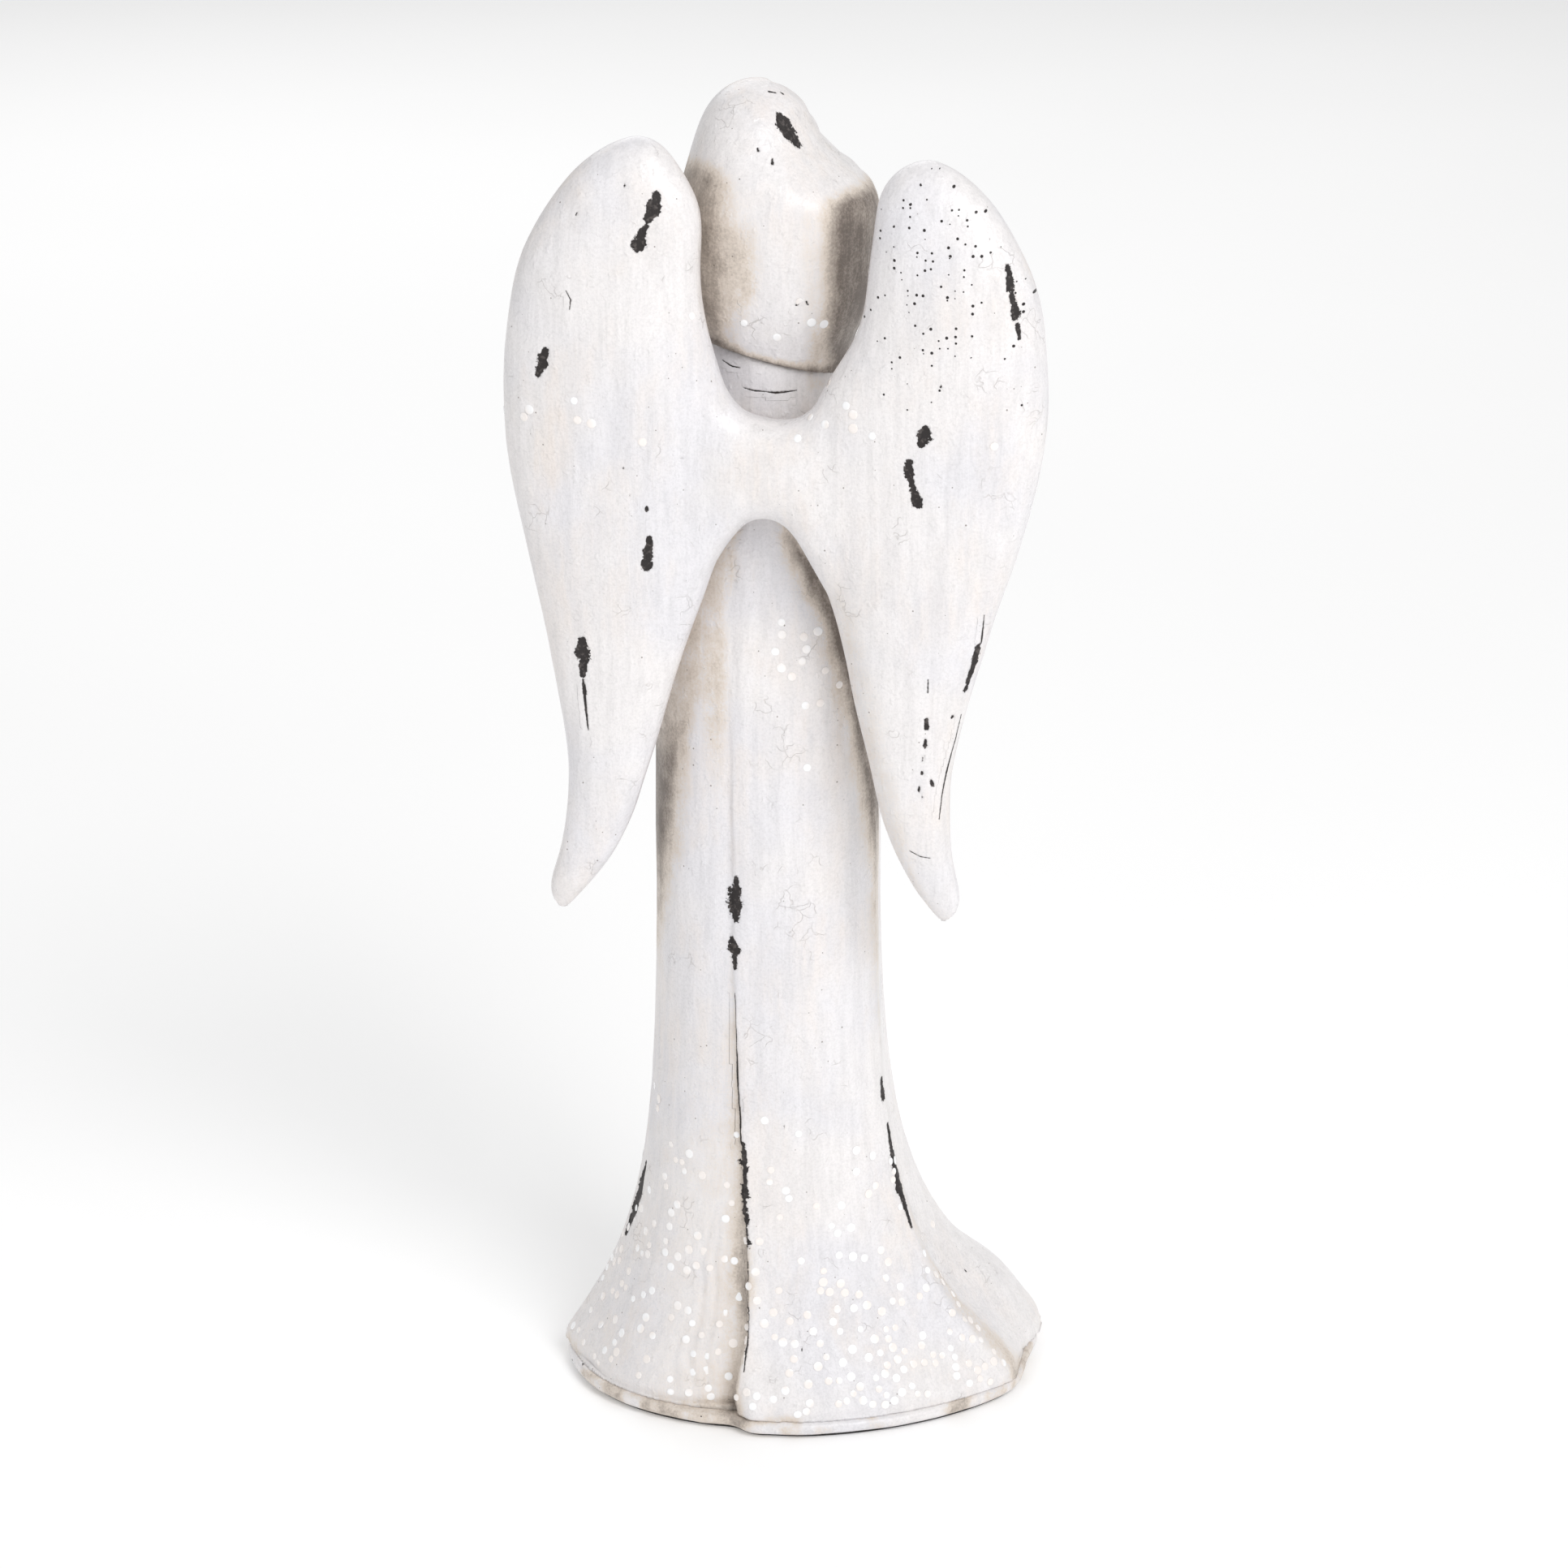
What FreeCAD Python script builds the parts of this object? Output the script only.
"""Resin angel figurine: cast robe, head, wings and arms, joined by hidden pins on a felted base.

Frame: millimetres, +Z up, the face looks along -Y, the wings are on the +Y side.
The origin is under the middle of the figurine, on the surface that it stands on.
"""
import FreeCAD, Part
import math
import os

V = FreeCAD.Vector

# ---- driving dimensions, mm and degrees -------------------------------------------------
RING_POINTS = 60            # points on each closed section of the robe
SOFT_RING_POINTS = 32       # points on each closed section of the smoother castings

FELT_THICK = 0.7            # felt pad under the base
FELT_INSET = 2.0            # felt edge behind the plate edge
PLATE_THICK = 1.9           # closing plate, seen as a lip under the hem
HEM_Z = FELT_THICK + PLATE_THICK
PLATE_LIP = 0.8             # how far the plate stands out past the hem

COLUMN_HALF_X = 16.5        # robe column, half width
COLUMN_HALF_Y = 13.5        # robe column, half depth
FLARE_X = 18.8              # extra half width that the skirt gains at the hem
FLARE_Y = 14.2              # extra half depth that the skirt gains at the hem
FLARE_HEIGHT = 20.0         # height over which the skirt flares
FLARE_POWER = 1.2
COLUMN_X, COLUMN_Y = 2.8, 3.5       # centre of the column
HEM_X, HEM_Y = -1.6, 0.4            # centre of the hem
HEM_TURN = 12.0             # the hem outline is turned this much about Z
WALL = 3.6                  # wall of the hollow casting
CAVITY_TOP = 128.0          # the robe is solid above this height

BACK_FOLD, RIGHT_FOLD, LEFT_FOLD, FRONT_FOLD = 82.0, 167.0, 8.0, 276.0   # where folds run down
FRONT_LOBE = 206.0          # the skirt's wide front corner
LOBE_REACH = 4.1            # how far that corner stands out at the hem
SIDE_HOLLOW = 183.0         # hollow between the right fold and the corner
SIDE_HOLLOW_DEPTH = 2.0

NECK_X, NECK_Y, NECK_Z = 2.2, 3.0, 163.2    # middle of the slanted joint under the hair
NECK_SLANT = 15.0
NOSE_X = 2.0                # middle of the face
NECK_GAP = 0.15             # glue line each side of the joint

SEAT_Y = 15.6               # flat face on the back where the wings are glued
SEAT_WIDTH, SEAT_CUT = 60.0, 30.0   # generous width and depth of the blocks that trim the seat
WING_Y = 20.6               # middle of the wings' thickness
WING_X = -1.0               # the wings sit a little to the right of the middle
NECK_OPENING_SHIFT = 0.9    # the opening round the hair is this much further to the right
LEFT_WING = (80.4, 195.2)   # tip and top of each wing before it is set askew
RIGHT_WING = (84.4, 194.8)
BRIDGE_LOW, BRIDGE_HIGH = 142.4, 156.4
WING_ROLL = 2.2             # the wings sit this much askew
ROLL_CENTRE_Z = 160.0       # height that the wings are turned about

NECK_PIN = (2.5, 22.0)      # radius, length
WING_PIN = (2.0, 10.0)
ARM_PIN = (1.5, 7.0)
ARM_PIN_DEPTH = 3.4         # how far inside the shoulder's middle the arm pins start
PIN_CLEARANCE = 0.1         # glue gap round every pin
MIDDLE = V(1.0, 0.25, 0.0)  # moves the finished model so that the origin is under its middle

SHOULDER = V(15.6, 2.8, 145.6)   # way points of the +X arm, measured from the column's middle
ELBOW = V(19.4, -3.4, 121.5)
WRIST = V(3.6, -19.6, 131.0)
UPPER_ARM_R, ELBOW_R = 5.7, 6.0
HANDS_FOOT = V(COLUMN_X, -18.2, 130.5)
HANDS_TIP = V(COLUMN_X, -22.6, 152.5)


# ---- closed sections and skins ----------------------------------------------------------
def closed_wire(points):
    curve = Part.BSplineCurve()
    curve.interpolate(Points=points, PeriodicFlag=True)
    return Part.Wire([curve.toShape()])


def angle_between(a, b):
    return (a - b + 180.0) % 360.0 - 180.0


def oval_radius(angle, half_x, half_front, half_back, power):
    """Radius of a superellipse whose front (-Y) and back (+Y) depths differ."""
    cosine, sine = math.cos(math.radians(angle)), math.sin(math.radians(angle))
    half_y = half_back if sine > 0 else half_front
    return (abs(cosine / half_x) ** power + abs(sine / half_y) ** power) ** (-1.0 / power)


def level_ring(z, centre_x, centre_y, half_x, half_front, half_back, power=2.2):
    points = []
    for step in range(SOFT_RING_POINTS):
        angle = 360.0 * step / SOFT_RING_POINTS
        radius = oval_radius(angle, half_x, half_front, half_back, power)
        points.append(V(centre_x + radius * math.cos(math.radians(angle)),
                        centre_y + radius * math.sin(math.radians(angle)), z))
    return closed_wire(points)


def tilted_ring(centre, along, across, half_across, half_other):
    """An ellipse round a limb's axis; across sets the direction of its first half width."""
    along = V(along).normalize()
    other = along.cross(across).normalize()
    side = other.cross(along)
    points = []
    for step in range(SOFT_RING_POINTS):
        angle = math.radians(360.0 * step / SOFT_RING_POINTS)
        across = side * (half_across * math.cos(angle))
        points.append(centre + across + other * (half_other * math.sin(angle)))
    return closed_wire(points)


def skin(sections):
    return Part.makeLoft(sections, True, False)


def pin(foot, direction, radius, length):
    return Part.makeCylinder(radius, length, foot, direction)


def pin_hole(foot, direction, size):
    """The hole for a pin of (radius, length), with the glue gap round it and at its ends."""
    radius, length = size
    start = foot - V(direction).normalize() * PIN_CLEARANCE
    return Part.makeCylinder(radius + PIN_CLEARANCE, length + 2 * PIN_CLEARANCE, start, direction)


# ---- robe -------------------------------------------------------------------------------
def flare(z):
    """1 at the hem, falling smoothly to 0 in the column."""
    return math.exp(-(max(z - HEM_Z, 0.0) / FLARE_HEIGHT) ** FLARE_POWER)


def fold_relief(angle, z):
    """Radial relief of the robe's folds: crests, and the step beside the back fold."""
    open_ = flare(z)
    relief = 0.0
    for fold, height in ((RIGHT_FOLD, 1.6), (LEFT_FOLD, 1.6), (FRONT_FOLD, 2.0)):
        relief += (0.15 + height * open_) * math.exp(-abs(angle_between(angle, fold)) / 11.0)
    beside = angle_between(BACK_FOLD, angle)
    if 0.0 < beside < 90.0:
        relief -= (0.5 + 3.2 * open_) * math.exp(-beside / 20.0) * (1.0 - math.exp(-beside / 3.0))
    relief += LOBE_REACH * open_ ** 0.5 * math.exp(-(angle_between(angle, FRONT_LOBE) / 25.0) ** 2)
    relief -= SIDE_HOLLOW_DEPTH * open_ ** 0.6 * math.exp(-(angle_between(angle, SIDE_HOLLOW) / 9.0) ** 2)
    return relief


def robe_ring(z, half_x, half_front, half_back, centre_y, folds=1.0, inset=0.0):
    open_ = flare(z)
    centre_x = COLUMN_X + (HEM_X - COLUMN_X) * open_
    points = []
    for step in range(RING_POINTS):
        angle = 360.0 * step / RING_POINTS
        power = 2.2 - 0.35 * math.sin(math.radians(angle)) * open_
        radius = oval_radius(angle - HEM_TURN * open_, half_x, half_front, half_back, power)
        radius += folds * fold_relief(angle, z) - inset
        points.append(V(centre_x + radius * math.cos(math.radians(angle)),
                        centre_y + radius * math.sin(math.radians(angle)), z))
    return closed_wire(points)


def skirt_ring(z, folds=1.0, inset=0.0):
    open_ = flare(z)
    half_y = COLUMN_HALF_Y + FLARE_Y * open_
    centre_y = COLUMN_Y + (HEM_Y - COLUMN_Y) * open_
    return robe_ring(z, COLUMN_HALF_X + FLARE_X * open_, half_y, half_y, centre_y, folds, inset)


def skirt_sections():
    heights = (HEM_Z, 4.5, 7.0, 10.0, 14.0, 19.0, 25.0, 32.0, 40.0, 50.0, 62.0, 76.0, 92.0, 108.0, 120.0)
    return [skirt_ring(z) for z in heights]


def torso_sections():
    """(height, half width, front depth, back depth, centre y) from the waist to the collar."""
    stations = ((130.0, 16.6, 13.2, 12.4, 3.5), (139.0, 17.0, 13.0, 12.0, 3.4),
                (146.0, 16.4, 11.8, 11.2, 3.3), (151.5, 14.4, 10.2, 10.4, 3.2),
                (155.5, 11.4, 8.6, 9.9, 3.0), (159.0, 10.4, 8.1, 9.9, 3.0),
                (163.0, 10.7, 8.4, 10.1, 3.0), (168.0, 10.0, 8.0, 9.6, 3.0))
    return [robe_ring(z, half_x, front, back, middle, 0.4) for z, half_x, front, back, middle in stations]


def neck_cutter(side):
    """A big block on one side of the slanted neck joint: +1 above it, -1 below it."""
    size = 120.0
    foot = -NECK_GAP if side > 0 else NECK_GAP - size
    block = Part.makeBox(size, size, size, V(-size / 2, -size / 2, foot))
    block.rotate(V(0, 0, 0), V(0, 1, 0), -NECK_SLANT)
    block.translate(V(NECK_X, NECK_Y, NECK_Z))
    return block


def wing_pin_feet():
    half = WING_PIN[1] / 2.0
    return [V(x, SEAT_Y - half, 149.0) for x in (-4.5, 4.5)]


def arm_pin_foot(side):
    return V(COLUMN_X + side * (SHOULDER.x - ARM_PIN_DEPTH), SHOULDER.y, SHOULDER.z - 2.0)


def robe_outer():
    return skin(skirt_sections() + torso_sections())


def robe_body(outer):
    """The hollow robe, with the neck joint, the flat seat for the wings and the pin holes."""
    cavity_heights = (HEM_Z, 8.0, 15.0, 25.0, 38.0, 55.0, 80.0, 105.0, CAVITY_TOP)
    cavity = skin([skirt_ring(z, 0.5, WALL) for z in cavity_heights])
    seat_corner = V(-SEAT_WIDTH / 2, SEAT_Y, BRIDGE_LOW)
    behind_seat = Part.makeBox(SEAT_WIDTH, SEAT_CUT, BRIDGE_HIGH - BRIDGE_LOW, seat_corner)
    shape = outer.cut(neck_cutter(+1)).cut(cavity).cut(behind_seat)
    shape = shape.cut(pin_hole(neck_pin_foot(), V(0, 0, 1), NECK_PIN))
    for foot in wing_pin_feet():
        shape = shape.cut(pin_hole(foot, V(0, 1, 0), WING_PIN))
    for side in (-1, 1):
        shape = shape.cut(pin_hole(arm_pin_foot(side), V(side, 0, 0), ARM_PIN))
    return shape


# ---- base -------------------------------------------------------------------------------
def base_outline(z, inset):
    half_x = COLUMN_HALF_X + FLARE_X
    half_y = COLUMN_HALF_Y + FLARE_Y
    return robe_ring(z, half_x, half_y, half_y, HEM_Y, 0.55, inset)


def prism(outline, height):
    return Part.Face(outline).extrude(V(0, 0, height))


def base_plate():
    return prism(base_outline(FELT_THICK, -PLATE_LIP), PLATE_THICK)


def base_felt():
    return prism(base_outline(0.0, FELT_INSET - PLATE_LIP), FELT_THICK)


# ---- head -------------------------------------------------------------------------------
def neck_pin_foot():
    return V(NECK_X, NECK_Y, NECK_Z - NECK_PIN[1] / 2.0)


def head_and_hair():
    """(height, centre x, half width, front depth, back depth, squareness) of the cast head."""
    stations = ((157.0, 2.0, 10.6, 7.4, 10.0, 2.3), (162.0, 2.0, 11.2, 7.8, 10.6, 2.4),
                (166.0, 1.9, 12.2, 10.4, 11.8, 2.5), (171.0, 1.7, 13.8, 13.4, 13.0, 2.5),
                (177.0, 1.6, 14.4, 14.2, 13.8, 2.4), (182.0, 1.6, 14.6, 14.2, 14.4, 2.3),
                (186.0, 1.6, 13.6, 13.6, 14.2, 2.2), (189.5, 3.0, 11.2, 12.4, 13.0, 2.1),
                (193.0, 4.3, 8.9, 10.6, 11.0, 2.0), (196.5, 4.5, 7.3, 8.4, 8.6, 2.0),
                (199.3, 4.6, 4.9, 5.4, 5.6, 2.0), (200.7, 4.6, 2.4, 2.6, 2.7, 2.0))
    rings = [level_ring(z, x, NECK_Y, half_x, front, back, power)
             for z, x, half_x, front, back, power in stations]
    crown = Part.Vertex(V(4.6, NECK_Y, 201.1))
    shape = skin(rings + [crown]).cut(neck_cutter(-1))
    return shape.fuse(nose()).removeSplitter().cut(pin_hole(neck_pin_foot(), V(0, 0, 1), NECK_PIN))


def nose():
    bridge = tilted_ring(V(NOSE_X, -10.0, 178.5), V(0, 0, 1), V(1, 0, 0), 1.0, 1.6)
    tip = tilted_ring(V(NOSE_X, -10.6, 174.4), V(0, 0, 1), V(1, 0, 0), 1.7, 2.2)
    base = tilted_ring(V(NOSE_X, -10.2, 173.2), V(0, 0, 1), V(1, 0, 0), 1.4, 1.5)
    return skin([bridge, tip, base])


# ---- wings ------------------------------------------------------------------------------
def wing_lobe(side, low_z, high_z):
    """One wing as level sections: (share of height, inner x, outer x, thickness, middle y offset)."""
    stations = ((0.022, 25.9, 29.6, 2.6, 0.6), (0.064, 22.4, 28.9, 4.8, 0.4),
                (0.115, 19.2, 28.2, 6.4, 0.2), (0.19, 16.6, 28.0, 8.0, 0.0),
                (0.28, 13.8, 29.5, 9.4, -0.2), (0.375, 10.9, 31.9, 10.6, -0.3),
                (0.48, 7.0, 34.9, 11.6, -0.2), (0.594, 5.0, 37.7, 12.4, 0.0),
                (0.69, 6.4, 38.6, 13.0, 0.2), (0.777, 10.6, 37.9, 13.2, 0.3),
                (0.855, 11.9, 35.9, 12.6, 0.2), (0.92, 12.5, 32.0, 11.2, 0.0),
                (0.964, 14.3, 27.8, 8.6, -0.2), (0.989, 16.8, 23.8, 5.0, -0.4))
    rings = []
    for share, inner, outer, thick, offset in stations:
        if 0.7 < share < 0.95:
            inner -= side * NECK_OPENING_SHIFT
        rings.append(level_ring(low_z + share * (high_z - low_z), side * (inner + outer) / 2.0,
                                WING_Y + offset, (outer - inner) / 2.0, thick / 2.0, thick / 2.0, 2.3))
    tip = Part.Vertex(V(side * 28.1, WING_Y + 0.7, low_z))
    top = Part.Vertex(V(side * 20.2, WING_Y - 0.5, high_z))
    return skin([tip] + rings + [top])


def bridge_ring(x, low, high, thick):
    points = []
    for step in range(SOFT_RING_POINTS):
        angle = 360.0 * step / SOFT_RING_POINTS
        radius = oval_radius(angle, (high - low) / 2.0, thick / 2.0, thick / 2.0, 2.3)
        points.append(V(x, WING_Y + radius * math.sin(math.radians(angle)),
                        (low + high) / 2.0 + radius * math.cos(math.radians(angle))))
    return closed_wire(points)


def wing_bridge():
    """Saddle between the wings: (distance from the middle, lowest z, highest z, thickness)."""
    stations = ((0.0, BRIDGE_LOW, BRIDGE_HIGH, 10.2), (3.5, 140.6, 157.2, 10.2), (6.5, 136.0, 160.2, 10.3),
                (9.5, 131.0, 165.5, 10.0), (12.5, 128.0, 168.0, 9.0), (16.0, 130.0, 166.0, 6.0))
    left = [bridge_ring(-x, low, high, thick) for x, low, high, thick in reversed(stations[1:])]
    right = [bridge_ring(x, low, high, thick) for x, low, high, thick in stations]
    return skin(left + right)


def wing_pair():
    shape = wing_lobe(+1, *LEFT_WING).fuse(wing_lobe(-1, *RIGHT_WING)).fuse(wing_bridge())
    shape.rotate(V(0, WING_Y, ROLL_CENTRE_Z), V(0, 1, 0), -WING_ROLL)
    shape.translate(V(WING_X, 0, 0))
    return shape


def glued_wings(outer, head):
    """The wings with their flat seat against the back, kept clear of the robe and the hair."""
    trim_corner = V(-SEAT_WIDTH / 4, SEAT_Y - SEAT_CUT, 135.0)
    in_front_of_seat = Part.makeBox(SEAT_WIDTH / 2, SEAT_CUT, SEAT_CUT, trim_corner)
    shape = wing_pair().cut(in_front_of_seat).cut(outer).cut(head)
    for foot in wing_pin_feet():
        shape = shape.cut(pin_hole(foot, V(0, 1, 0), WING_PIN))
    return shape


# ---- arms and hands ---------------------------------------------------------------------
def sleeve():
    """The +X bell sleeve: a round upper arm, the elbow, and a forearm that widens to the cuff."""
    upper = ELBOW - SHOULDER
    forearm = WRIST - ELBOW
    hinge_line = upper.cross(forearm)
    stations = ((0.0, 5.6, 6.0), (0.5, 5.6, 7.6), (1.0, 5.4, 9.4))
    bell = skin([tilted_ring(ELBOW + forearm * part, forearm, hinge_line, wide, high)
                 for part, wide, high in stations])
    shape = Part.makeCone(UPPER_ARM_R, ELBOW_R, upper.Length, SHOULDER, upper)
    for solid in (Part.makeSphere(UPPER_ARM_R, SHOULDER), Part.makeSphere(ELBOW_R, ELBOW), bell):
        shape = shape.fuse(solid)
    return shape


def arm(side, outer, hands):
    shape = sleeve()
    if side < 0:
        shape = shape.mirror(V(0, 0, 0), V(1, 0, 0))
    shape.translate(V(COLUMN_X, 0, 0))
    shape = shape.cut(outer).cut(hands)
    return shape.cut(pin_hole(arm_pin_foot(side), V(side, 0, 0), ARM_PIN))


def praying_hands(outer):
    axis = HANDS_TIP - HANDS_FOOT
    stations = ((-0.35, 4.6, 4.0), (0.0, 4.4, 3.8), (0.25, 3.9, 4.2),
                (0.5, 3.3, 4.6), (0.75, 2.6, 3.8), (0.93, 1.8, 2.2))
    rings = [tilted_ring(HANDS_FOOT + axis * part, axis, V(1, 0, 0), wide, deep)
             for part, wide, deep in stations]
    return skin(rings + [Part.Vertex(HANDS_TIP)]).cut(outer)


# ---- assembly ---------------------------------------------------------------------------
def build():
    outer = robe_outer()
    head = head_and_hair()
    hands = praying_hands(outer)
    shapes = {
        "robe_body": robe_body(outer),
        "base_plate": base_plate(),
        "base_felt": base_felt(),
        "head_and_hair": head,
        "neck_dowel": pin(neck_pin_foot(), V(0, 0, 1), *NECK_PIN),
        "wing_pair": glued_wings(outer, head),
        "wing_dowels": Part.makeCompound([pin(foot, V(0, 1, 0), *WING_PIN) for foot in wing_pin_feet()]),
        "left_arm": arm(+1, outer, hands),
        "right_arm": arm(-1, outer, hands),
        "praying_hands": hands,
        "arm_dowels": Part.makeCompound([pin(arm_pin_foot(side), V(side, 0, 0), *ARM_PIN)
                                         for side in (-1, 1)]),
    }
    return shapes


def main():
    os.makedirs("parts", exist_ok=True)
    for name, shape in build().items():
        shape.translate(MIDDLE)
        shape.exportStep("parts/" + name + ".step")
        box = shape.BoundBox
        print("%-14s solids %d valid %s volume %.0f  x %.1f..%.1f  y %.1f..%.1f  z %.1f..%.1f" % (
            name, len(shape.Solids), shape.isValid(), shape.Volume,
            box.XMin, box.XMax, box.YMin, box.YMax, box.ZMin, box.ZMax))


main()
